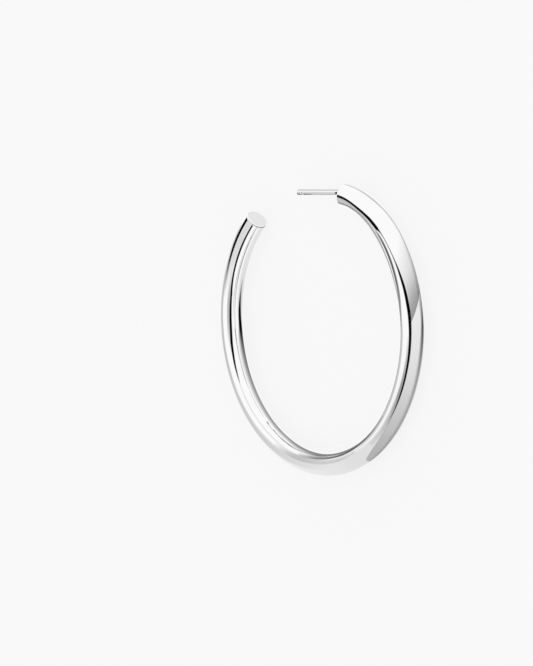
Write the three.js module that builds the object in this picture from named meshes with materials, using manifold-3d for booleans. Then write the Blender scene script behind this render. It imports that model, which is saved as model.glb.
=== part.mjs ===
// A plain open hoop earring of polished silver: a round tube bent to a C that ends in two flat faces,
// with a straight ear post soldered on one of them. It lies on its side. Millimetres, +Z up.
import * as THREE from "three";
import { mergeVertices } from "three/addons/utils/BufferGeometryUtils.js";
import Module from "manifold-3d";

// Hoop: angles are counterclockwise from +X, round the middle of the large arc.
const outerDiameter = 40;
const tubeDiameter = 3;
const freeEndAngle = 134.3;
const curlStartAngle = 50; // from here to the post's end the tube bends more tightly
const curlRadius = 12.2; // of the tube's centreline
const curlSweep = 33.5;
const endEdgeRadius = 0.12; // softened rim of both end faces

// Ear post
const postDiameter = 0.8;
const postLength = 9.6; // from the end face to the tip
const postOffset = 0.43; // outwards from the middle of the end face
const postDroop = 1.5; // degrees below the -X direction
const postRoot = 0.6; // length inside the tube
const postTipRadius = 0.22;
const grooveFromTip = 1.25; // middle of the groove that holds an ear nut
const grooveWidth = 0.36;
const grooveDepth = 0.08;
const solderRadius = 0.14; // fillet round the foot of the post
const solderSink = 0.03; // the fillet's edge lies this far or more below the end face, all round

// Facets
const tubeSides = 24;
const tubeSteps = 96;
const edgeFacets = 3;
const postSides = 16;
const filletSteps = 3;
const cutMargin = 0.5; // how far a cutting tool reaches past what it cuts
const mergeDistance = 1e-5;

const silver = new THREE.MeshStandardMaterial({ color: 0xe4e5e7, roughness: 0.05, metalness: 1 });

const tubeRadius = tubeDiameter / 2;
const hoopRadius = outerDiameter / 2 - tubeRadius; // of the tube's centreline
const postRadius = postDiameter / 2;
const radians = THREE.MathUtils.degToRad;

// The corners of a polygon whose flats touch a circle of that radius lie this far out.
const cornerRadius = (radius, sides) => radius / Math.cos(Math.PI / sides);

const wasm = await Module();
wasm.setup();

function solidOf(geometry) {
  const bare = geometry.clone();
  bare.deleteAttribute("normal");
  bare.deleteAttribute("uv");
  const merged = mergeVertices(bare, mergeDistance);
  return new wasm.Manifold(
    new wasm.Mesh({
      numProp: 3,
      vertProperties: new Float32Array(merged.attributes.position.array),
      triVerts: new Uint32Array(merged.index.array),
    }),
  );
}

function geometryOf(solid) {
  const mesh = solid.getMesh();
  const geometry = new THREE.BufferGeometry();
  geometry.setAttribute("position", new THREE.BufferAttribute(mesh.vertProperties, 3));
  geometry.setIndex(new THREE.BufferAttribute(mesh.triVerts, 1));
  geometry.computeVertexNormals();
  return geometry;
}

// The tube's centreline: the large arc from the free end, then the tighter arc to the post's end.
class HoopCurve extends THREE.Curve {
  constructor() {
    super();
    this.largeSweep = radians(360 - freeEndAngle + curlStartAngle);
    this.largeLength = hoopRadius * this.largeSweep;
    this.length = this.largeLength + curlRadius * radians(curlSweep);
    this.curlCentre = outward(curlStartAngle).multiplyScalar(hoopRadius - curlRadius);
  }

  angleAt(t) {
    const run = t * this.length;
    const past = Math.max(run - this.largeLength, 0);
    return radians(freeEndAngle) + Math.min(run, this.largeLength) / hoopRadius + past / curlRadius;
  }

  getPoint(t, target = new THREE.Vector3()) {
    const onCurl = t * this.length > this.largeLength;
    const angle = this.angleAt(t);
    const radius = onCurl ? curlRadius : hoopRadius;
    target.set(radius * Math.cos(angle), radius * Math.sin(angle), 0);
    return onCurl ? target.add(this.curlCentre) : target;
  }

  getTangent(t, target = new THREE.Vector3()) {
    const angle = this.angleAt(t);
    return target.set(-Math.sin(angle), Math.cos(angle), 0);
  }
}

function outward(degrees) {
  return new THREE.Vector3(Math.cos(radians(degrees)), Math.sin(radians(degrees)), 0);
}

// The section has a flat at the bottom, so that the hoop rests on flat facets.
function tube(curve) {
  const radius = cornerRadius(tubeRadius, tubeSides);
  const corners = [];
  for (let i = 0; i < tubeSides; i += 1) {
    const turn = ((i + 0.5) * 2 * Math.PI) / tubeSides;
    corners.push(new THREE.Vector2(radius * Math.cos(turn), radius * Math.sin(turn)));
  }
  const section = new THREE.Shape(corners);
  return solidOf(
    new THREE.ExtrudeGeometry(section, { steps: tubeSteps, extrudePath: curve, bevelEnabled: false }),
  );
}

// A turned piece on the Y axis. Its flats keep the profile's radii and face as the tube's flats do.
function lathe(profile, sides) {
  const corners = profile.map((point) => new THREE.Vector2(cornerRadius(point.x, sides), point.y));
  return new THREE.LatheGeometry(corners, sides).rotateY(Math.PI / sides);
}

// What has to come off an end to soften its rim. The face is at y = 0, and the tube lies below it.
// Each facet touches the rounding's arc, and the first and last run on past the face and the side.
function rimCutter() {
  const turnStep = Math.PI / 2 / (edgeFacets + 1);
  const middle = new THREE.Vector2(tubeRadius - endEdgeRadius, -endEdgeRadius);
  const along = (turn) => new THREE.Vector2(Math.cos(turn), -Math.sin(turn));
  const profile = [];
  for (let i = 1.5; i < edgeFacets; i += 1) {
    const out = new THREE.Vector2(Math.sin(i * turnStep), Math.cos(i * turnStep));
    profile.push(out.multiplyScalar(endEdgeRadius / Math.cos(turnStep / 2)).add(middle));
  }
  const first = profile[0].clone().addScaledVector(along(turnStep), -cutMargin);
  const last = profile.at(-1).clone().addScaledVector(along(edgeFacets * turnStep), cutMargin);
  return lathe([first, ...profile, last, new THREE.Vector2(last.x, first.y), first], tubeSides);
}

// Turns +Y to a direction in the hoop's plane and moves the origin to a point.
function placed(geometry, point, direction) {
  const turn = new THREE.Quaternion().setFromUnitVectors(new THREE.Vector3(0, 1, 0), direction);
  return geometry.applyQuaternion(turn).translate(point.x, point.y, point.z);
}

// The post stands on +Y, with the end face at y = 0 and its root below that.
function post(faceTilt) {
  const foot = postRadius + solderRadius;
  const footY = -foot * Math.tan(faceTilt) - solderSink;
  const profile = [new THREE.Vector2(0, -postRoot), new THREE.Vector2(foot, -postRoot)];
  for (let i = 0; i <= filletSteps; i += 1) {
    const turn = ((Math.PI / 2) * i) / filletSteps;
    profile.push(
      new THREE.Vector2(
        foot - solderRadius * Math.sin(turn),
        footY + solderRadius * (1 - Math.cos(turn)),
      ),
    );
  }
  const groove = postLength - grooveFromTip;
  const floor = postRadius - grooveDepth;
  profile.push(
    new THREE.Vector2(postRadius, groove - grooveWidth / 2),
    new THREE.Vector2(floor, groove - grooveWidth / 4),
    new THREE.Vector2(floor, groove + grooveWidth / 4),
    new THREE.Vector2(postRadius, groove + grooveWidth / 2),
  );
  for (let i = 0; i <= filletSteps; i += 1) {
    const turn = ((Math.PI / 2) * i) / filletSteps;
    profile.push(
      new THREE.Vector2(
        postRadius - postTipRadius * (1 - Math.cos(turn)),
        postLength - postTipRadius * (1 - Math.sin(turn)),
      ),
    );
  }
  profile.push(new THREE.Vector2(0, postLength));
  return lathe(profile, postSides);
}

function hoopWithPost() {
  const curve = new HoopCurve();
  const freeEnd = curve.getPoint(0);
  const postEnd = curve.getPoint(1);
  const freeNormal = curve.getTangent(0).negate();
  const postNormal = curve.getTangent(1);
  const postDirection = outward(180 + postDroop);
  const postFoot = postEnd.clone().addScaledVector(outward(curlStartAngle + curlSweep), postOffset);
  const faceTilt = postNormal.angleTo(postDirection);

  const solid = tube(curve)
    .subtract(solidOf(placed(rimCutter(), freeEnd, freeNormal)))
    .subtract(solidOf(placed(rimCutter(), postEnd, postNormal)))
    .add(solidOf(placed(post(faceTilt), postFoot, postDirection)));
  const mesh = new THREE.Mesh(geometryOf(solid), silver);
  mesh.name = "hoop_with_post";
  return mesh;
}

const earring = new THREE.Group();
earring.add(hoopWithPost());

// The origin is the middle of the underside of the whole earring's box.
const box = new THREE.Box3().setFromObject(earring);
const middle = box.getCenter(new THREE.Vector3());
earring.children[0].position.set(-middle.x, -middle.y, -box.min.z);

export default earring;
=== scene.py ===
import math
from collections import namedtuple

import bpy
from mathutils import Matrix, Vector


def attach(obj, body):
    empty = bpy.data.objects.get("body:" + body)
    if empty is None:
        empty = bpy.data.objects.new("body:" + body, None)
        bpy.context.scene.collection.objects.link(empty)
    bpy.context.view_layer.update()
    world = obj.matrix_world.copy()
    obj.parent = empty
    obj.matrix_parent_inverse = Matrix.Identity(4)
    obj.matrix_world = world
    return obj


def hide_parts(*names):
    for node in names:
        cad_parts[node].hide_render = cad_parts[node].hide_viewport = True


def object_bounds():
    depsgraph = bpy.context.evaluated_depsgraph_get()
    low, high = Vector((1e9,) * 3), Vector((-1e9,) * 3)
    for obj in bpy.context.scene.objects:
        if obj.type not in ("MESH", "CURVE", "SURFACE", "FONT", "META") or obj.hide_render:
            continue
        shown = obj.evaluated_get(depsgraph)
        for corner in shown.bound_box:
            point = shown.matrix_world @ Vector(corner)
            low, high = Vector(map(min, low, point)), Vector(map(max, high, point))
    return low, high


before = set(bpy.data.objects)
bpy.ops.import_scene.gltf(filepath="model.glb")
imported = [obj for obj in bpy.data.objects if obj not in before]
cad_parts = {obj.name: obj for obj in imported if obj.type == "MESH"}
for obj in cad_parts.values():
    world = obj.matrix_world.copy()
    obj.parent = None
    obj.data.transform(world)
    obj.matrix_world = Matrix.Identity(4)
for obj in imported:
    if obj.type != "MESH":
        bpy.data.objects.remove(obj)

MM = 0.001
BODY = "root"
NODE = "hoop_with_post"

# The hoop: its angles run counterclockwise from +X, round the middle of the large arc
cad_low, cad_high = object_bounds()
OUTER_RADIUS = (cad_high.x - cad_low.x) / 2
TUBE_RADIUS = (cad_high.z - cad_low.z) / 2
HOOP_RADIUS = OUTER_RADIUS - TUBE_RADIUS
HOOP_CENTRE = Vector((cad_low.x + OUTER_RADIUS, cad_low.y + OUTER_RADIUS, TUBE_RADIUS))
FREE_END_ANGLE = 134.3
CURL_START_ANGLE = 50
CURL_RADIUS = 12.2 * MM
CURL_SWEEP = 33.5
END_EDGE_RADIUS = 0.12 * MM

# The ear post
POST_RADIUS = 0.4 * MM
POST_LENGTH = 9.6 * MM
POST_OFFSET = 0.43 * MM
POST_DROOP = 1.5
POST_TIP_RADIUS = 0.22 * MM
GROOVE_FROM_TIP = 1.25 * MM
GROOVE_WIDTH = 0.36 * MM
GROOVE_DEPTH = 0.08 * MM
SOLDER_RADIUS = 0.14 * MM
CORNER_RADIUS = 0.03 * MM

# How finely the skin is divided
SKIN_SIDES = 96
LARGE_ARC_RINGS = 330
CURL_RINGS = 36
EDGE_RINGS = 8
FACE_RINGS = 6
FACE_MIDDLE_RADIUS = TUBE_RADIUS / 20
FILLET_RINGS = 8
TIP_RINGS = 8

# The silver
BRIGHT_SILVER = (0.965, 0.963, 0.96, 1)
DEEP_SILVER = (0.925, 0.928, 0.935, 1)
CLOUD_SCALE = 300
CLOUD_DETAIL = 3
POLISH_SCALE = 1500
POLISH_DETAIL = 4
ROUGHNESS_LOW = 0.015
ROUGHNESS_HIGH = 0.05

# The camera, fitted to the photograph
IMAGE_SIZE = (533, 666)
HOOP_CENTRE_PIXEL = (317.9, 323.7)
FOCAL_PIXELS = 2538
HOOP_DISTANCE = 333 * MM
CAMERA_TURN = 51.5
CAMERA_RISE = 5.33
SENSOR = 36
NEAREST_SEEN = 0.01
FURTHEST_SEEN = 50

Ring = namedtuple("Ring", "centre axis radius")


def outward(degrees):
    angle = math.radians(degrees)
    return Vector((math.cos(angle), math.sin(angle), 0))


def turned(direction):
    """The direction a quarter turn further round the hoop's axis."""
    return Vector((-direction.y, direction.x, 0))


def blend(a, b, share):
    return a + (b - a) * share


def curl_centre():
    """Where the tighter arc at the post's end turns round."""
    return HOOP_CENTRE + outward(CURL_START_ANGLE) * (HOOP_RADIUS - CURL_RADIUS)


def arc_rings(centre, radius, start, sweep, count):
    """Rings of the tube along an arc of its centreline, both ends included."""
    rings = []
    for i in range(count + 1):
        out = outward(start + sweep * i / count)
        rings.append(Ring(centre + out * radius, turned(out), TUBE_RADIUS))
    return rings


def edge_rings(face_centre, axis):
    """The softened rim of an end face, from the face's edge back to the tube's side."""
    rings = []
    for i in range(EDGE_RINGS + 1):
        turn = math.pi / 2 * i / EDGE_RINGS
        back = END_EDGE_RADIUS * (1 - math.cos(turn))
        radius = TUBE_RADIUS - END_EDGE_RADIUS * (1 - math.sin(turn))
        rings.append(Ring(face_centre - axis * back, axis, radius))
    return rings


def face_rings(outer, inner):
    """Flat rings between two circles in one face, close together near both circles."""
    rings = []
    for i in range(1, FACE_RINGS):
        share = (1 - math.cos(math.pi * i / FACE_RINGS)) / 2
        centre = blend(outer.centre, inner.centre, share)
        rings.append(Ring(centre, outer.axis, blend(outer.radius, inner.radius, share)))
    return rings


def softened(profile):
    """The profile of (height, radius) points with each inner corner rounded a little."""
    points = [profile[0]]
    for before, corner, after in zip(profile, profile[1:], profile[2:]):
        start = corner + (before - corner).normalized() * min(CORNER_RADIUS, (before - corner).length / 3)
        end = corner + (after - corner).normalized() * min(CORNER_RADIUS, (after - corner).length / 3)
        for share in (0, 0.25, 0.5, 0.75, 1):
            points.append(blend(blend(start, corner, share), blend(corner, end, share), share))
    return points + [profile[-1]]


def post_profile():
    """Height along the post and radius, from the top of the solder to the rim of the tip's flat."""
    groove = POST_LENGTH - GROOVE_FROM_TIP
    floor = POST_RADIUS - GROOVE_DEPTH
    corners = [
        (SOLDER_RADIUS, POST_RADIUS),
        (groove - GROOVE_WIDTH / 2, POST_RADIUS),
        (groove - GROOVE_WIDTH / 4, floor),
        (groove + GROOVE_WIDTH / 4, floor),
        (groove + GROOVE_WIDTH / 2, POST_RADIUS),
        (POST_LENGTH - POST_TIP_RADIUS, POST_RADIUS),
    ]
    points = softened([Vector(corner) for corner in corners])
    for i in range(1, TIP_RINGS + 1):
        turn = math.pi / 2 * i / TIP_RINGS
        height = POST_LENGTH - POST_TIP_RADIUS * (1 - math.sin(turn))
        points.append(Vector((height, POST_RADIUS - POST_TIP_RADIUS * (1 - math.cos(turn)))))
    return points


def post_rings(face_centre, face_axis, face_out):
    """The solder fillet on the end face, and then the post to the rim of its tip."""
    foot = face_centre + face_out * POST_OFFSET
    direction = outward(180 + POST_DROOP)
    rings = []
    for i in range(FILLET_RINGS + 1):
        turn = math.pi / 2 * i / FILLET_RINGS
        height = SOLDER_RADIUS * (1 - math.cos(turn))
        radius = POST_RADIUS + SOLDER_RADIUS * (1 - math.sin(turn))
        axis = blend(face_axis, direction, i / FILLET_RINGS).normalized()
        rings.append(Ring(foot + direction * height, axis, radius))
    for height, radius in post_profile()[1:]:
        rings.append(Ring(foot + direction * height, direction, radius))
    return rings


def earring_rings():
    """Every ring of the earring's skin, from the middle of the free end to the tip of the post."""
    large = arc_rings(
        HOOP_CENTRE, HOOP_RADIUS, FREE_END_ANGLE, 360 - FREE_END_ANGLE + CURL_START_ANGLE, LARGE_ARC_RINGS
    )
    curl = arc_rings(curl_centre(), CURL_RADIUS, CURL_START_ANGLE, CURL_SWEEP, CURL_RINGS)
    free_end = large[0]
    free_edge = [
        Ring(ring.centre, -ring.axis, ring.radius)
        for ring in edge_rings(free_end.centre, -free_end.axis)
    ]
    free_face = face_rings(free_edge[0], Ring(free_end.centre, free_end.axis, FACE_MIDDLE_RADIUS))
    post_end = curl[-1]
    post_edge = edge_rings(post_end.centre, post_end.axis)[::-1]
    post = post_rings(post_end.centre, post_end.axis, outward(CURL_START_ANGLE + CURL_SWEEP))
    post_face = face_rings(post_edge[-1], post[0])
    tube = (large + curl[1:])[1:-1]
    return free_face[::-1] + free_edge + tube + post_edge + post_face + post


def skin(name, rings):
    """One closed mesh over a row of rings whose axes all lie in the hoop's plane."""
    up = Vector((0, 0, 1))
    points = []
    for ring in rings:
        side = up.cross(ring.axis)
        for i in range(SKIN_SIDES):
            turn = 2 * math.pi * i / SKIN_SIDES
            points.append(ring.centre + (side * math.cos(turn) + up * math.sin(turn)) * ring.radius)
    faces = []
    for k in range(len(rings) - 1):
        for i in range(SKIN_SIDES):
            j = (i + 1) % SKIN_SIDES
            a, b = k * SKIN_SIDES, (k + 1) * SKIN_SIDES
            faces.append((a + i, b + i, b + j, a + j))
    for ring, first in ((rings[0], 0), (rings[-1], (len(rings) - 1) * SKIN_SIDES)):
        middle = len(points)
        points.append(ring.centre)
        for i in range(SKIN_SIDES):
            j = (i + 1) % SKIN_SIDES
            faces.append((middle, first + i, first + j) if first == 0 else (middle, first + j, first + i))
    mesh = bpy.data.meshes.new(name)
    mesh.from_pydata(points, [], faces)
    mesh.validate()
    mesh.shade_smooth()
    piece = bpy.data.objects.new(name, mesh)
    bpy.context.collection.objects.link(piece)
    return piece


def silver():
    """Polished silver: faint clouds in its tint, and a polish that varies a little from place to place."""
    material = bpy.data.materials.new("polished_silver")
    material.use_nodes = True
    tree = material.node_tree
    shader = tree.nodes["Principled BSDF"]
    shader.inputs["Metallic"].default_value = 1
    place = tree.nodes.new("ShaderNodeTexCoord")
    clouds = tree.nodes.new("ShaderNodeTexNoise")
    clouds.inputs["Scale"].default_value = CLOUD_SCALE
    clouds.inputs["Detail"].default_value = CLOUD_DETAIL
    tint = tree.nodes.new("ShaderNodeMix")
    tint.data_type = "RGBA"
    tint.inputs["A"].default_value = DEEP_SILVER
    tint.inputs["B"].default_value = BRIGHT_SILVER
    polish = tree.nodes.new("ShaderNodeTexNoise")
    polish.inputs["Scale"].default_value = POLISH_SCALE
    polish.inputs["Detail"].default_value = POLISH_DETAIL
    roughness = tree.nodes.new("ShaderNodeMapRange")
    roughness.inputs["To Min"].default_value = ROUGHNESS_LOW
    roughness.inputs["To Max"].default_value = ROUGHNESS_HIGH
    tree.links.new(place.outputs["Object"], clouds.inputs["Vector"])
    tree.links.new(place.outputs["Object"], polish.inputs["Vector"])
    tree.links.new(clouds.outputs["Fac"], tint.inputs["Factor"])
    tree.links.new(tint.outputs["Result"], shader.inputs["Base Color"])
    tree.links.new(polish.outputs["Fac"], roughness.inputs["Value"])
    tree.links.new(roughness.outputs["Result"], shader.inputs["Roughness"])
    return material


def camera_turn():
    turn = Matrix.Rotation(math.radians(CAMERA_TURN), 3, "Y")
    return turn @ Matrix.Rotation(math.radians(-CAMERA_RISE), 3, "X")


def camera_place():
    across = (HOOP_CENTRE_PIXEL[0] - IMAGE_SIZE[0] / 2) / FOCAL_PIXELS
    down = (HOOP_CENTRE_PIXEL[1] - IMAGE_SIZE[1] / 2) / FOCAL_PIXELS
    return HOOP_CENTRE - camera_turn() @ Vector((across, -down, -1)) * HOOP_DISTANCE


def camera():
    data = bpy.data.cameras.new("camera")
    data.sensor_width = SENSOR
    data.lens = FOCAL_PIXELS * SENSOR / max(IMAGE_SIZE)
    data.clip_start = NEAREST_SEEN
    data.clip_end = FURTHEST_SEEN
    obj = bpy.data.objects.new("camera", data)
    obj.matrix_world = Matrix.Translation(camera_place()) @ camera_turn().to_4x4()
    bpy.context.collection.objects.link(obj)
    bpy.context.scene.camera = obj


# The studio
FLOOR_SIZE = 6
FLOOR_LEVEL = 0.943
FLOOR_GLOW = 0.85
FLOOR_ALBEDO = 0.85
TENT_RADIUS = 700 * MM
TENT_LEVEL = 1.01
TENT_STEPS = 48
CARD_STEPS = 6
CARD_CORE = 8
CARD_SOFT = 5
CARD_LIFT = 0.02 * MM
SHEET_LIFT = 0.02 * MM
VIEW_HALF = 88
PAST_END = 1
DISPLAY_GAMMA = 2.2

# A station of a dark card, whose mirror image paints dark lines and shade onto the silver: where the image
# shows, in degrees round the hoop and over from the top of the tube, outward positive; the half width of its
# full part and of its soft edges outward and inward, in degrees over the tube; how dark it is; and how many
# millimetres it stands from the silver. The cards are placed for the camera's own view: from other sides
# their images move over the silver.
Station = namedtuple("Station", "turn tilt half outer inner shade reach")

MAIN_LINE = [
    (-36, 30.5, 0.3, 3.0, 4.0, 0.1, 600),
    (-31, 32.0, 0.8, 2.5, 3.5, 0.55, 600),
    (-25, 34.0, 1.8, 2.5, 3.5, 0.88, 600),
    (-18, 36.2, 2.6, 2.5, 3.5, 0.98, 480),
    (-12, 37.8, 3.0, 3.0, 4.0, 1.0, 260),
    (-8, 38.8, 3.3, 3.5, 4.5, 1.0, 170),
    (0, 39.8, 4.0, 4.0, 4.5, 1.0, 160),
    (7, 38.8, 4.4, 5.0, 4.5, 1.0, 165),
    (12, 36.0, 5.0, 4.0, 4.0, 1.0, 190),
    (17, 32.8, 4.6, 3.5, 3.5, 1.0, 150),
    (22, 28.3, 3.4, 3.5, 3.5, 1.0, 120),
    (27, 24.3, 1.4, 3.5, 3.0, 0.85, 95),
    (31, 21.0, 0.5, 3.0, 3.0, 0.2, 80),
]
POST_END_LINE = [
    (26, 25.0, 0.3, 3.5, 3.5, 0.1, 3),
    (31, 21.0, 0.7, 3.0, 3.0, 0.55, 3),
    (36, 18.0, 0.6, 3.0, 3.0, 0.52, 3),
    (40.5, 15.5, 0.8, 3.0, 3.0, 0.55, 3),
    (43, 12.0, 2.5, 3.0, 3.0, 0.85, 3),
    (44.5, 8.0, 6.5, 3.0, 2.5, 1.0, 3),
    (47, 5.0, 6.5, 4.0, 3.0, 1.0, 3),
    (51, 1.5, 5.6, 4.0, 3.0, 1.0, 3),
    (55, -2.0, 5.0, 4.0, 3.5, 1.0, 3),
    (60, -5.0, 4.6, 4.0, 3.5, 1.0, 3),
    (65, -5.2, 4.0, 3.5, 3.5, 1.0, 3),
    (70, -3.5, 3.6, 3.5, 3.5, 1.0, 3),
    (76, -0.5, 3.2, 4.5, 4.5, 1.0, 3),
    (84, 2.0, 3.2, 5.0, 5.0, 1.0, 3),
]
LINE_VEIL = [
    (-50, 20.0, 4.0, 10.0, 10.0, 0.05, 15),
    (-40, 24.0, 4.0, 10.0, 10.0, 0.14, 15),
    (-30, 24.0, 4.0, 8.0, 8.0, 0.25, 15),
    (-22, 25.0, 3.0, 8.0, 6.0, 0.36, 15),
    (-15, 27.0, 2.5, 8.0, 6.0, 0.32, 15),
    (-7, 29.0, 2.0, 8.0, 6.0, 0.18, 15),
    (0, 30.0, 1.0, 8.0, 6.0, 0.03, 15),
]
PANEL = [
    (-58.3, 83.0, 9.0, 10.0, 2.0, 0.15, 8),
    (-57.5, 78.0, 16.0, 10.0, 2.0, 0.2, 8),
    (-55, 74.0, 22.0, 10.0, 2.0, 0.2, 8),
    (-52, 70.5, 26.0, 10.0, 2.5, 0.2, 8),
    (-48, 68.0, 29.0, 10.0, 3.0, 0.19, 8),
    (-43, 66.7, 31.0, 10.0, 4.0, 0.18, 8),
    (-37, 66.0, 33.0, 10.0, 4.0, 0.16, 8),
    (-30, 65.7, 33.0, 10.0, 4.0, 0.15, 8),
    (-20, 69.0, 31.0, 10.0, 5.0, 0.12, 8),
    (-10, 70.0, 30.0, 10.0, 5.0, 0.1, 8),
    (0, 71.0, 28.0, 10.0, 5.0, 0.08, 8),
    (8, 74.0, 26.0, 12.0, 5.0, 0.07, 8),
    (15, 76.0, 26.0, 14.0, 5.0, 0.06, 8),
    (21, 78.0, 26.0, 14.0, 5.0, 0.0, 8),
]
WEDGE = [
    (5.2, 75.0, 32.0, 20.0, 5.0, 0.36, 8.3),
    (8, 75.0, 32.0, 20.0, 5.0, 0.32, 8.3),
    (12, 75.0, 34.0, 20.0, 6.0, 0.25, 8.3),
    (16, 75.0, 36.0, 20.0, 6.0, 0.17, 8.3),
    (20, 75.0, 38.0, 20.0, 8.0, 0.11, 8.3),
    (26, 75.0, 40.0, 20.0, 8.0, 0.05, 8.3),
    (32, 75.0, 40.0, 20.0, 8.0, 0.0, 8.3),
]
WEDGE_LEAN = 0.157
WEDGE_TILT = 50
# The contact band's image darkens the tube's lower outer side, where it lies on the floor: painted contact
# shade in the silver's reflection.
CONTACT_BAND = [
    (-60, 94.0, 3.0, 8.0, 14.0, 0.05, 8.6),
    (-55, 96.0, 4.0, 9.0, 18.0, 0.14, 8.6),
    (-45, 98.0, 4.0, 10.0, 22.0, 0.2, 8.6),
    (-35, 102.0, 4.0, 9.0, 24.0, 0.25, 8.6),
    (-25, 105.0, 4.0, 9.0, 24.0, 0.29, 8.6),
    (-15, 108.0, 4.0, 9.0, 24.0, 0.36, 8.6),
    (-8, 110.0, 5.0, 9.0, 22.0, 0.45, 8.6),
    (-2, 112.0, 5.0, 9.0, 20.0, 0.58, 8.6),
    (3, 115.0, 5.0, 8.0, 18.0, 0.68, 8.6),
    (7, 117.0, 4.0, 8.0, 20.0, 0.56, 8.6),
    (12, 118.0, 4.0, 8.0, 24.0, 0.36, 8.6),
    (20, 119.0, 5.0, 10.0, 22.0, 0.16, 8.6),
    (30, 115.0, 4.0, 12.0, 22.0, 0.1, 8.6),
    (38, 118.0, 3.0, 9.0, 12.0, 0.12, 8.6),
    (44, 110.0, 2.0, 9.0, 9.0, 0.2, 8.6),
    (50, 100.0, 2.0, 8.0, 8.0, 0.22, 8.6),
    (56, 91.0, 3.0, 7.0, 7.0, 0.24, 8.6),
    (62, 85.0, 3.0, 7.0, 7.0, 0.23, 8.6),
    (70, 82.0, 3.0, 7.0, 7.0, 0.19, 8.6),
    (84, 82.0, 3.0, 8.0, 8.0, 0.17, 8.6),
]
RIDGE_BAND = [
    (-62, -12.0, 3.0, 6.0, 6.0, 0.05, 2.5),
    (-50, -12.0, 3.0, 8.0, 7.0, 0.16, 2.5),
    (-40, -12.5, 4.0, 10.0, 7.0, 0.2, 2.5),
    (-30, -12.5, 4.0, 10.0, 7.0, 0.22, 2.5),
    (-20, -12.0, 4.0, 10.0, 7.0, 0.22, 2.5),
    (-10, -12.0, 4.0, 10.0, 7.0, 0.22, 2.5),
    (0, -12.0, 4.0, 10.0, 7.0, 0.22, 2.5),
    (5, -14.0, 4.0, 10.0, 7.0, 0.28, 2.5),
    (9, -14.0, 4.5, 10.0, 7.0, 0.4, 2.5),
    (13, -10.0, 4.5, 10.0, 7.0, 0.45, 2.5),
    (18, -5.5, 4.0, 9.0, 7.0, 0.52, 2.5),
    (24, -2.5, 3.5, 8.0, 7.0, 0.6, 2.5),
    (30, -1.0, 3.5, 7.0, 7.0, 0.64, 2.5),
    (36, -1.0, 3.0, 7.0, 7.0, 0.62, 2.5),
    (40, -2.0, 3.0, 6.0, 6.0, 0.54, 2.5),
    (43, -3.0, 2.0, 5.0, 5.0, 0.4, 2.5),
    (45, -5.0, 1.0, 4.0, 4.0, 0.1, 2.5),
]
INNER_PATCH = [
    (13, -29.0, 9.0, 4.0, 3.0, 0.0, 3),
    (18, -29.0, 9.0, 4.0, 3.0, 0.14, 3),
    (23, -29.0, 9.0, 4.0, 3.0, 0.22, 3),
    (34, -30.0, 10.0, 5.0, 4.0, 0.23, 3),
    (42, -29.0, 14.0, 8.0, 5.0, 0.21, 3),
    (48, -26.0, 16.0, 9.0, 10.0, 0.19, 3),
    (60, -22.0, 13.0, 6.0, 16.0, 0.22, 3),
    (68, -20.0, 12.0, 6.0, 18.0, 0.22, 3),
    (76, -18.0, 12.0, 6.0, 18.0, 0.22, 3),
    (84, -16.0, 12.0, 6.0, 18.0, 0.22, 3),
]
FREE_END_BLOB = [
    (133, 8.5, 7.5, 6, 3, 1, 2.5),
    (140, 7.8, 7, 6.5, 3, 1, 2.5),
    (147, 6.8, 6.5, 7.5, 3.5, 1, 2.5),
    (151, 5.5, 5.5, 8, 4, 1, 2.5),
    (155, 3.5, 4, 9, 5, 0.85, 2.5),
    (159, 0.5, 2.5, 11, 7, 0.5, 2.5),
    (163, -3, 2, 12, 8, 0.28, 2.5),
    (168, -5, 2, 12, 8, 0.12, 2.5),
    (173, -5, 2, 12, 8, 0, 2.5),
]
FAR_RIDGE_BAND = [
    (152, 6.0, 4.0, 14.0, 5.0, 0.0, 12),
    (160, 6.0, 4.0, 14.0, 5.0, 0.2, 12),
    (170, 8.0, 5.0, 12.0, 5.0, 0.23, 12),
    (180, 8.0, 6.0, 12.0, 5.0, 0.21, 12),
    (200, 7.0, 7.0, 12.0, 5.0, 0.2, 12),
    (210, 7.0, 8.0, 14.0, 6.0, 0.17, 12),
    (225, 7.0, 10.0, 16.0, 6.0, 0.15, 12),
    (240, 6.0, 12.0, 18.0, 7.0, 0.13, 12),
    (255, 5.0, 12.0, 18.0, 9.0, 0.1, 12),
    (270, 5.0, 10.0, 18.0, 10.0, 0.05, 12),
    (285, 4.0, 8.0, 14.0, 10.0, 0.0, 12),
]
OUTER_DIM = [
    (139, 40.0, 18.0, 12.0, 8.0, 0.04, 11),
    (143, 40.0, 20.0, 12.0, 10.0, 0.16, 11),
    (150, 40.0, 20.0, 12.0, 10.0, 0.15, 11),
    (156, 40.0, 22.0, 12.0, 10.0, 0.08, 11),
    (170, 38.0, 22.0, 12.0, 12.0, 0.07, 11),
    (200, 38.0, 25.0, 12.0, 14.0, 0.08, 11),
    (230, 40.0, 30.0, 12.0, 18.0, 0.06, 11),
    (260, 45.0, 40.0, 15.0, 20.0, 0.06, 11),
    (285, 42.0, 44.0, 15.0, 20.0, 0.09, 11),
    (296, 42.0, 44.0, 15.0, 16.0, 0.11, 11),
    (306, 45.0, 40.0, 15.0, 10.0, 0.11, 11),
    (318, 47.0, 36.0, 15.0, 8.0, 0.1, 11),
    (328, 47.0, 36.0, 15.0, 8.0, 0.07, 11),
    (340, 47.0, 36.0, 15.0, 8.0, 0.03, 11),
    (350, 47.0, 36.0, 15.0, 8.0, 0.0, 11),
]
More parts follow.
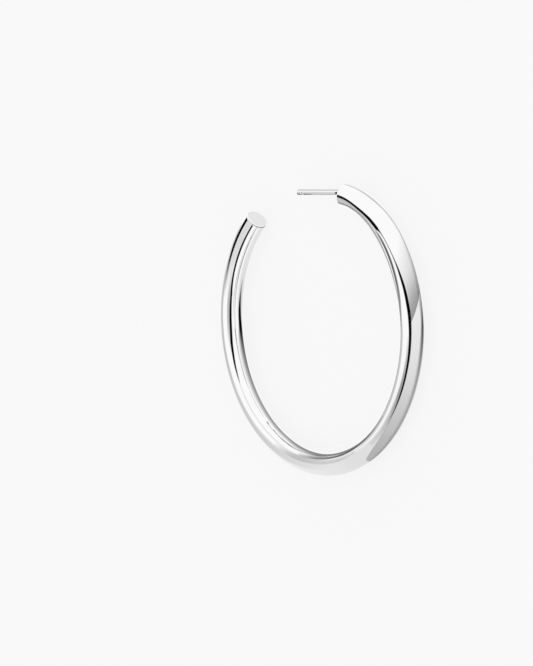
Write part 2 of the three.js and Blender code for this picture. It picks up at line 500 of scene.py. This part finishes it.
LOW_BAND = [
    (163, -95.0, 0.5, 4.0, 8.0, 0.1, 4),
    (169, -96.0, 1.5, 4.0, 10.0, 0.4, 4),
    (174, -97.0, 3.0, 4.0, 9.0, 0.85, 4),
    (178, -98.5, 5.0, 5.0, 9.0, 1.0, 4),
    (182, -101.5, 6.5, 6.0, 8.0, 1.0, 4),
    (186, -106.0, 6.5, 14.0, 8.0, 0.96, 4),
    (190, -109.5, 5.0, 26.0, 7.0, 0.76, 4),
    (195, -112.0, 4.0, 34.0, 7.0, 0.6, 4),
    (203, -111.0, 3.0, 36.0, 7.0, 0.5, 4),
    (212, -109.0, 3.0, 34.0, 8.0, 0.43, 4),
    (220, -107.0, 3.0, 32.0, 9.0, 0.39, 4),
    (230, -104.0, 3.0, 30.0, 9.0, 0.38, 4),
    (240, -100.0, 3.0, 28.0, 8.0, 0.38, 4),
    (248, -95.5, 3.0, 26.0, 8.0, 0.38, 4),
    (254, -89.0, 4.0, 25.0, 8.0, 0.4, 4),
    (260, -82.0, 4.0, 23.0, 8.0, 0.43, 4),
    (266, -74.0, 4.0, 20.0, 8.0, 0.45, 4),
    (271, -67.0, 5.0, 17.0, 8.0, 0.46, 4),
    (276, -60.0, 5.0, 13.0, 8.0, 0.46, 4),
    (282, -55.0, 4.0, 9.0, 8.0, 0.45, 4),
    (288, -49.0, 3.5, 8.0, 8.0, 0.46, 4),
    (293, -44.0, 3.5, 7.0, 8.0, 0.45, 4),
    (298, -39.0, 3.5, 6.0, 7.0, 0.38, 4),
    (303, -34.0, 3.0, 5.0, 7.0, 0.22, 4),
    (308, -30.0, 2.5, 5.0, 7.0, 0.08, 4),
    (312, -27.0, 2.0, 5.0, 7.0, 0.0, 4),
]
UPPER_BRANCH = [
    (262, -38, 3, 8, 8, 0.1, 3.2),
    (268, -38, 3, 8, 6, 0.25, 3.2),
    (274, -36, 2.5, 6, 6, 0.42, 3.2),
    (280, -34, 2.5, 5, 6, 0.46, 3.2),
    (286, -31.5, 2.5, 4, 6, 0.5, 3.2),
    (291, -29.5, 3, 4, 5, 0.53, 3.2),
    (296, -28, 3, 4, 5, 0.56, 3.2),
    (300, -27, 3, 4.5, 6, 0.54, 3.2),
    (304, -25, 3, 4.5, 6, 0.5, 3.2),
    (308, -23, 3, 5, 6, 0.48, 3.2),
    (313, -20.5, 2.5, 5, 6, 0.4, 3.2),
    (318, -18.5, 2, 6, 6, 0.24, 3.2),
    (324, -16, 2, 7, 6, 0.08, 3.2),
]
BRANCH_VEIL = [
    (246, -18, 5, 10, 12, 0.02, 3.4),
    (250, -19, 5, 10, 12, 0.09, 3.4),
    (258, -18, 6, 10, 14, 0.21, 3.4),
    (265, -20, 7, 12, 14, 0.23, 3.4),
    (272, -20, 7, 12, 12, 0.2, 3.4),
    (280, -16, 6, 10, 10, 0.16, 3.4),
    (290, -12, 5, 10, 8, 0.13, 3.4),
    (300, -11, 4, 8, 8, 0.07, 3.4),
]
INNER_LINE = [
    (134, -38.5, 2.8, 2.5, 2.5, 0.9, 3),
    (147, -39.2, 2.9, 2.5, 2.5, 0.96, 3),
    (152, -39.4, 2.9, 2.5, 2.5, 0.97, 3),
    (158, -39.8, 2.8, 2.5, 2.5, 0.96, 3),
    (163, -41.2, 2.5, 2.5, 2.5, 0.92, 3),
    (168, -44.0, 2.5, 2.5, 2.5, 0.92, 3),
    (171, -46.5, 3.0, 2.5, 2.5, 0.95, 3),
]
INNER_LINE_VEIL = [
    (158, -34.0, 3.0, 9.0, 4.0, 0.0, 3),
    (165, -35.0, 3.0, 9.0, 4.0, 0.15, 3),
    (172, -36.0, 4.0, 9.0, 4.0, 0.26, 3),
    (180, -37.0, 4.0, 9.0, 4.0, 0.28, 3),
    (187, -36.0, 4.0, 9.0, 4.0, 0.2, 3),
    (193, -35.0, 3.0, 8.0, 4.0, 0.08, 3),
    (198, -35.0, 3.0, 8.0, 4.0, 0.0, 3),
]
FREE_END_DIM = [
    (133, -17.0, 12.0, 4.0, 8.0, 0.13, 3.5),
    (145, -17.0, 12.0, 4.0, 8.0, 0.13, 3.5),
    (155, -17.0, 12.0, 6.0, 8.0, 0.11, 3.5),
    (163, -18.0, 8.0, 8.0, 8.0, 0.05, 3.5),
    (170, -18.0, 8.0, 8.0, 8.0, 0.0, 3.5),
]
LOWER_END_DIM = [
    (133, -98.0, 12.0, 14.0, 20.0, 0.1, 3.5),
    (150, -98.0, 12.0, 14.0, 20.0, 0.1, 3.5),
    (165, -100.0, 12.0, 14.0, 20.0, 0.12, 3.5),
    (176, -104.0, 12.0, 14.0, 18.0, 0.14, 3.5),
    (186, -108.0, 10.0, 10.0, 15.0, 0.08, 3.5),
    (194, -112.0, 8.0, 10.0, 12.0, 0.0, 3.5),
]
FAINT_LINE = [
    (200, -34.0, 1.0, 4.0, 4.0, 0.0, 4),
    (208, -34.0, 1.0, 4.0, 4.0, 0.08, 4),
    (225, -33.0, 1.0, 4.0, 4.0, 0.1, 4),
    (245, -33.0, 1.0, 4.0, 4.0, 0.1, 4),
    (256, -34.0, 1.0, 4.0, 4.0, 0.0, 4),
]

# In the next lists the first two numbers are millimetres along the post and degrees from its top, degrees
# round the hoop and in from the edge that the camera sees, degrees round the free end's rim from its top and
# over from the face, or millimetres outward and upward from the middle of that face.
POST_DIM = [
    (1.4, -28.0, 32.0, 9.0, 12.0, 0.15, 1.5),
    (5, -28.0, 32.0, 9.0, 12.0, 0.15, 1.5),
    (8.0, -28.0, 32.0, 9.0, 12.0, 0.15, 1.5),
    (8.15, -28.0, 32.0, 9.0, 12.0, 0.02, 1.5),
    (8.5, -28.0, 32.0, 9.0, 12.0, 0.02, 1.5),
    (8.65, -28.0, 32.0, 9.0, 12.0, 0.16, 1.5),
    (9.8, -28.0, 32.0, 9.0, 12.0, 0.17, 1.5),
]
POST_RIM = [
    (-0.1, 54.0, 20.0, 10.0, 12.0, 0.17, 3),
    (9.8, 54.0, 20.0, 10.0, 12.0, 0.17, 3),
]
# The outline card's image darkens a thin strip just inside the tube's outer edge as the camera sees it:
# painted shade along the silhouette.
OUTLINE = [
    (-60, 4.0, 4.0, 8.0, 1.0, 0.05, 4),
    (-40, 5.0, 5.0, 8.0, 1.0, 0.1, 4),
    (-10, 6.0, 6.0, 8.0, 1.0, 0.15, 4),
    (8, 7.0, 7.0, 9.0, 1.0, 0.2, 4),
    (20, 8.0, 8.0, 10.0, 1.0, 0.24, 4),
    (38, 8.0, 8.0, 10.0, 1.0, 0.2, 4),
    (46, 8.0, 8.0, 10.0, 1.0, 0.1, 4),
    (54, 8.0, 8.0, 10.0, 1.0, 0.0, 4),
]
FREE_RIM_LINE = [
    (-128, 48.0, 6.0, 8.0, 8.0, 0.0, 3),
    (-114, 48.0, 14.0, 8.0, 8.0, 0.85, 3),
    (-92, 48.0, 18.0, 8.0, 8.0, 1.0, 3),
    (-70, 48.0, 16.0, 8.0, 8.0, 0.85, 3),
    (-45, 48.0, 14.0, 8.0, 8.0, 0.5, 3),
    (-10, 48.0, 12.0, 8.0, 8.0, 0.3, 3),
    (30, 48.0, 10.0, 8.0, 8.0, 0.0, 3),
]
# The root spot's image puts a dark spot on the post at its root by the end face: painted shade in the post's
# reflection.
POST_ROOT_SPOT = [
    (1.1, -16.0, 20.0, 8.0, 8.0, 0.85, 1.2),
    (1.6, -16.0, 20.0, 8.0, 8.0, 0.8, 1.2),
    (1.75, -16.0, 18.0, 8.0, 8.0, 0.4, 1.2),
    (1.9, -16.0, 16.0, 8.0, 8.0, 0.0, 1.2),
]
FACE_DIM = [
    (-1.35, -0.4, 0.5, 0.2, 0.2, 0.05, 3),
    (-1.1, -0.3, 0.9, 0.2, 0.2, 0.08, 3),
    (-0.5, -0.2, 1.25, 0.2, 0.1, 0.085, 3),
    (0, -0.2, 1.3, 0.2, 0, 0.085, 3),
    (0.7, -0.1, 1.4, 0.3, 0, 0.085, 3),
    (1.5, 0, 1.5, 0.3, 0, 0.085, 3),
    (3, 0, 1.5, 0.3, 0, 0.085, 3),
]


def emission(name, level):
    material = bpy.data.materials.new(name)
    material.use_nodes = True
    tree = material.node_tree
    tree.nodes.clear()
    out = tree.nodes.new("ShaderNodeOutputMaterial")
    light = tree.nodes.new("ShaderNodeEmission")
    light.inputs["Color"].default_value = (level, level, level, 1)
    tree.links.new(light.outputs[0], out.inputs["Surface"])
    return material


def floor_material():
    material = bpy.data.materials.new("pale_floor")
    material.use_nodes = True
    tree = material.node_tree
    tree.nodes.clear()
    out = tree.nodes.new("ShaderNodeOutputMaterial")
    matt = tree.nodes.new("ShaderNodeBsdfDiffuse")
    matt.inputs["Color"].default_value = (FLOOR_ALBEDO, FLOOR_ALBEDO, FLOOR_ALBEDO, 1)
    glow = tree.nodes.new("ShaderNodeEmission")
    glow.inputs["Color"].default_value = (FLOOR_LEVEL, FLOOR_LEVEL, FLOOR_LEVEL, 1)
    mix = tree.nodes.new("ShaderNodeMixShader")
    mix.inputs["Fac"].default_value = FLOOR_GLOW
    tree.links.new(matt.outputs[0], mix.inputs[1])
    tree.links.new(glow.outputs[0], mix.inputs[2])
    tree.links.new(mix.outputs[0], out.inputs["Surface"])
    return material


def stage_mesh(name, points, faces, material):
    mesh = bpy.data.meshes.new(name)
    mesh.from_pydata(points, [], faces)
    mesh.materials.append(material)
    obj = bpy.data.objects.new(name, mesh)
    bpy.context.collection.objects.link(obj)
    return obj


def only_in_reflections(obj):
    obj.visible_camera = False
    obj.visible_diffuse = False
    obj.visible_transmission = False
    obj.visible_shadow = False


def floor_corners(half, height):
    return [Vector((x, y, height)) for x, y in ((-half, -half), (half, -half), (half, half), (-half, half))]


def tent():
    """The white hemisphere and the white sheet under it that the silver mirrors."""
    points, faces = [Vector((0, 0, TENT_RADIUS))], []
    count = 2 * TENT_STEPS
    for k in range(1, TENT_STEPS + 1):
        away = math.pi / 2 * k / TENT_STEPS
        for i in range(count):
            out = outward(360 * i / count)
            points.append((out * math.sin(away) + Vector((0, 0, math.cos(away)))) * TENT_RADIUS)
    for i in range(count):
        faces.append((0, 1 + i, 1 + (i + 1) % count))
    for k in range(TENT_STEPS - 1):
        for i in range(count):
            a, b = 1 + k * count, 1 + (k + 1) * count
            faces.append((a + i, b + i, b + (i + 1) % count, a + (i + 1) % count))
    light = emission("tent_light", TENT_LEVEL)
    only_in_reflections(stage_mesh("tent", points, faces, light))
    corners = floor_corners(TENT_RADIUS, SHEET_LIFT)
    only_in_reflections(stage_mesh("white_sheet", corners, [(0, 1, 2, 3)], light))


def gauze():
    """Black sheets seen only in reflections, painting dark lines and shade on the silver; they let through
    what the mesh's cover attribute leaves.
    """
    material = emission("painted_reflection_shade", 0)
    tree = material.node_tree
    cover = tree.nodes.new("ShaderNodeAttribute")
    cover.attribute_name = "cover"
    clear = tree.nodes.new("ShaderNodeBsdfTransparent")
    mix = tree.nodes.new("ShaderNodeMixShader")
    tree.links.new(cover.outputs["Fac"], mix.inputs["Fac"])
    tree.links.new(clear.outputs[0], mix.inputs[1])
    tree.links.new(tree.nodes["Emission"].outputs[0], mix.inputs[2])
    tree.links.new(mix.outputs[0], tree.nodes["Material Output"].inputs["Surface"])
    return material


def between(stations, i, share):
    """A smooth curve through the stations (Catmull-Rom)."""
    last = len(stations) - 1
    p0, p1, p2, p3 = (stations[min(max(k, 0), last)] for k in (i - 1, i, i + 1, i + 2))
    values = []
    for a, b, c, d in zip(p0, p1, p2, p3):
        bend = (2 * a - 5 * b + 4 * c - d) * share**2 + (3 * b - 3 * c + d - a) * share**3
        values.append(b + ((c - a) * share + bend) / 2)
    return Station(*values)


def tube_spot(turn, tilt):
    """A spot on the tube and the direction that it faces."""
    out = outward(turn)
    facing = out * math.sin(math.radians(tilt)) + Vector((0, 0, math.cos(math.radians(tilt))))
    if CURL_START_ANGLE < turn <= CURL_START_ANGLE + CURL_SWEEP + PAST_END:
        centre = curl_centre() + out * CURL_RADIUS
    else:
        centre = HOOP_CENTRE + out * HOOP_RADIUS
    return centre + facing * TUBE_RADIUS, facing


def middle_tilt(turn):
    """How far over the tube faces the camera most."""
    toward = camera_place() - HOOP_CENTRE
    return math.degrees(math.atan2(toward.dot(outward(turn)), toward.z))


def on_tube(turn, tilt):
    """The spot of the tube nearest to this one that the camera still sees."""
    middle = middle_tilt(turn)
    return tube_spot(turn, min(max(tilt, middle - VIEW_HALF), middle + VIEW_HALF))


def on_edge(turn, inset):
    """A spot so many degrees in from the outer edge of what the camera sees."""
    return on_tube(turn, middle_tilt(turn) + VIEW_HALF - inset)


def on_wedge(turn, tilt):
    """A spot on the tube, further round the hoop the further over it lies."""
    return on_tube(turn + WEDGE_LEAN * (tilt - WEDGE_TILT), tilt)


def on_post(along, tilt):
    out = outward(CURL_START_ANGLE + CURL_SWEEP)
    direction = outward(180 + POST_DROOP)
    foot = curl_centre() + out * (CURL_RADIUS + POST_OFFSET)
    side = -turned(direction)
    facing = side * math.sin(math.radians(tilt)) + Vector((0, 0, math.cos(math.radians(tilt))))
    return foot + direction * along * MM + facing * POST_RADIUS, facing


def on_free_face(across, rise):
    out = outward(FREE_END_ANGLE)
    spot = HOOP_CENTRE + out * (HOOP_RADIUS + across * MM) + Vector((0, 0, rise * MM))
    return spot, -turned(out)


def on_rim(face_centre, face_axis, out, around, over):
    around, over = math.radians(around), math.radians(over)
    aside = out * math.sin(around) + Vector((0, 0, math.cos(around)))
    facing = face_axis * math.cos(over) + aside * math.sin(over)
    middle = face_centre - face_axis * END_EDGE_RADIUS + aside * (TUBE_RADIUS - END_EDGE_RADIUS)
    return middle + facing * END_EDGE_RADIUS, facing


def on_free_rim(around, over):
    out = outward(FREE_END_ANGLE)
    return on_rim(HOOP_CENTRE + out * HOOP_RADIUS, -turned(out), out, around, over)


def mirrored(spot, facing, reach, lift):
    """The place whose image the camera sees at this spot, so far off but no lower than the lift."""
    look = (spot - camera_place()).normalized()
    away = look - 2 * look.dot(facing) * facing
    if away.z < 0:
        reach = min(reach, (spot.z - lift) / -away.z)
    return spot + away * reach


def card_row(at):
    """Tilts and covers across a card, from its outer soft edge to its inner one."""
    soft = [i / CARD_SOFT for i in range(CARD_SOFT)]
    row = [(at.tilt + at.half + at.outer * (1 - share), share) for share in soft]
    row += [(at.tilt + at.half * (1 - 2 * i / CARD_CORE), 1) for i in range(CARD_CORE + 1)]
    row += [(at.tilt - at.half - at.inner * (1 - share), share) for share in reversed(soft)]
    covers = []
    for tilt, share in row:
        dark = min(max(at.shade, 0), 1) * share * share * (3 - 2 * share)
        covers.append((tilt, 1 - (1 - dark) ** DISPLAY_GAMMA))
    return covers


def card(name, stations, spot_at, material, lift):
    """A dark card along the stations, placed so that the camera sees its image there on the silver: painted
    dark lines and shade in its reflections.
    """
    stations = [Station(*station) for station in stations]
    path = []
    for i in range(len(stations) - 1):
        path += [between(stations, i, step / CARD_STEPS) for step in range(CARD_STEPS)]
    path.append(stations[-1])
    points, faces, covers = [], [], []
    for at in path:
        for tilt, cover in card_row(at):
            points.append(mirrored(*spot_at(at.turn, tilt), at.reach * MM, lift))
            covers.append(cover)
    columns = CARD_CORE + 1 + 2 * CARD_SOFT
    for k in range(len(path) - 1):
        for i in range(columns - 1):
            a = k * columns + i
            faces.append((a, a + 1, a + 1 + columns, a + columns))
    obj = stage_mesh(name, points, faces, material)
    attribute = obj.data.attributes.new("cover", "FLOAT", "POINT")
    attribute.data.foreach_set("value", covers)
    only_in_reflections(obj)


def cards():
    """All the dark cards that paint dark lines and shade into the silver's reflections; no two of them lie
    equally high over the floor.
    """
    material = gauze()
    kinds = [
        ("face_dim", FACE_DIM, on_free_face),
        ("main_line", MAIN_LINE, on_tube),
        ("post_end_line", POST_END_LINE, on_tube),
        ("line_veil", LINE_VEIL, on_tube),
        ("panel", PANEL, on_tube),
        ("wedge", WEDGE, on_wedge),
        ("contact_band", CONTACT_BAND, on_tube),
        ("ridge_band", RIDGE_BAND, on_tube),
        ("inner_patch", INNER_PATCH, on_tube),
        ("free_end_blob", FREE_END_BLOB, on_tube),
        ("far_ridge_band", FAR_RIDGE_BAND, on_tube),
        ("outer_dim", OUTER_DIM, on_tube),
        ("low_band", LOW_BAND, on_tube),
        ("upper_branch", UPPER_BRANCH, on_tube),
        ("branch_veil", BRANCH_VEIL, on_tube),
        ("inner_line", INNER_LINE, on_tube),
        ("inner_line_veil", INNER_LINE_VEIL, on_tube),
        ("free_end_dim", FREE_END_DIM, on_tube),
        ("lower_end_dim", LOWER_END_DIM, on_tube),
        ("faint_line", FAINT_LINE, on_tube),
        ("outline", OUTLINE, on_edge),
        ("free_rim_line", FREE_RIM_LINE, on_free_rim),
        ("post_dim", POST_DIM, on_post),
        ("post_rim", POST_RIM, on_post),
        ("post_root_spot", POST_ROOT_SPOT, on_post),
    ]
    for layer, (name, stations, spot_at) in enumerate(kinds):
        card(name, stations, spot_at, material, SHEET_LIFT + CARD_LIFT * (layer + 1))


def studio():
    world = bpy.data.worlds.new("white_room")
    world.use_nodes = True
    sky = world.node_tree.nodes["Background"]
    level = FLOOR_LEVEL / FLOOR_ALBEDO
    sky.inputs["Color"].default_value = (level, level, level, 1)
    bpy.context.scene.world = world
    stage_mesh("floor", floor_corners(FLOOR_SIZE / 2, 0), [(0, 1, 2, 3)], floor_material())
    tent()
    cards()


def studio_view():
    scene = bpy.context.scene
    scene.view_settings.view_transform = "Standard"
    scene.view_settings.look = "None"


earring = skin("polished_earring", earring_rings())
earring.data.materials.append(silver())
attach(earring, BODY)
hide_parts(NODE)
camera()
studio()
studio_view()
